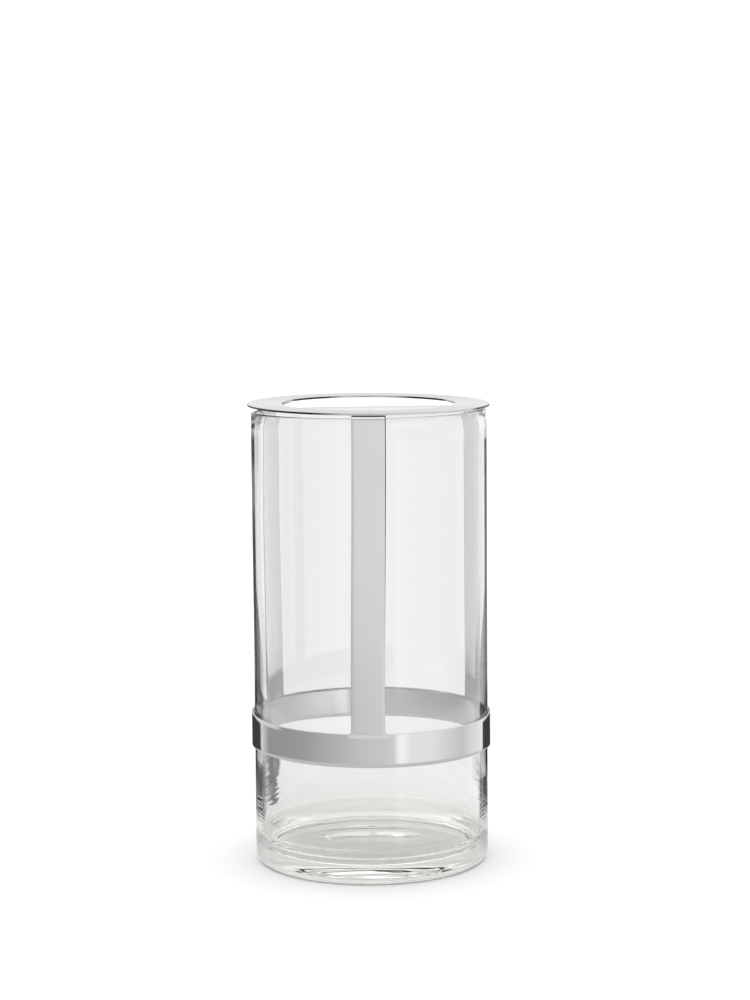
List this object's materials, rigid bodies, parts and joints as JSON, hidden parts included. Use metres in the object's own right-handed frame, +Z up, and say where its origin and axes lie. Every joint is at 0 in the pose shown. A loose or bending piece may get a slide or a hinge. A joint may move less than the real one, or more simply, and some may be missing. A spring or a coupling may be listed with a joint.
{
  "type": "candle lantern",
  "caption": "Clear glass cylinder candle lantern with a lift-off satin steel cage: a flat ring over the mouth, flat upright straps and a band round the lower wall.",
  "frame": {"origin": "on the ground, at the middle of the glass foot", "axes": "+Z up along the cylinder, -Y towards the front strap, +X to the right seen from the front"},
  "size_m": [0.147, 0.147, 0.281],
  "materials": {
    "clear_glass": "clear blown glass",
    "satin_steel": "satin, finely brushed"
  },
  "bodies": {
    "glass": {"glass_cylinder": "clear_glass"},
    "cage": {"top_ring": "satin_steel", "strap_front": "satin_steel", "strap_right": "satin_steel", "strap_left": "satin_steel", "band": "satin_steel"}
  },
  "joints": [
    {"name": "cage_lift", "type": "slide", "parent": "glass", "child": "cage", "axis": [0, 0, 1], "range_m": [0, 0.22]}
  ]
}
